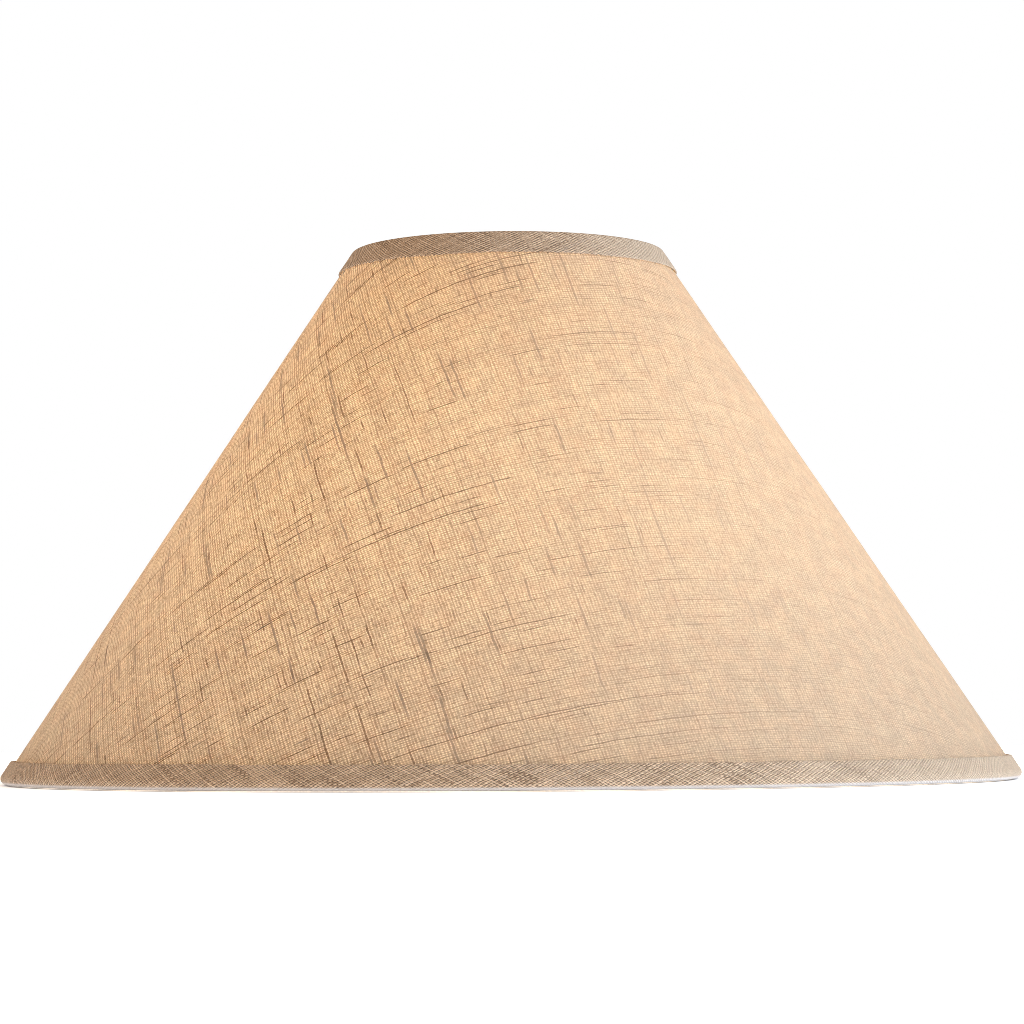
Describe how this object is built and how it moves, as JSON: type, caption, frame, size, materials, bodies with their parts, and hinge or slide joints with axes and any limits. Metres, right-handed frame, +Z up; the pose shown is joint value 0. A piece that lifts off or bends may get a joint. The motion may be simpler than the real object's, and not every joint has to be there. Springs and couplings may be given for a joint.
{
  "type": "lamp shade",
  "caption": "Wide cone-shaped hardback lamp shade in coarse natural linen, with folded bias trims and a washer-type spider.",
  "frame": {"origin": "centre of the lower opening, level with the lowest edge of the bottom trim", "axes": "+Z up along the shade's axis, through the hub washer's hole; +X to the right and +Y away from the front; the seam is at the back"},
  "size_m": [0.4832, 0.4832, 0.2537],
  "materials": {
    "cover_linen": "coarse plain-weave natural linen with dark slubs",
    "trim_linen": "the same linen cut on the bias and folded",
    "liner_styrene": "translucent white styrene sheet, satin",
    "seam_tape": "translucent adhesive tape",
    "plated_steel": "zinc-plated wire, dull"
  },
  "bodies": {
    "root": {"cover": "cover_linen", "liner": "liner_styrene", "seam_tape": "seam_tape", "top_trim": "trim_linen", "bottom_trim": "trim_linen", "top_ring": "plated_steel", "bottom_ring": "plated_steel", "spider_arm_1": "plated_steel", "spider_arm_2": "plated_steel", "spider_arm_3": "plated_steel", "hub_washer": "plated_steel"}
  },
  "joints": []
}
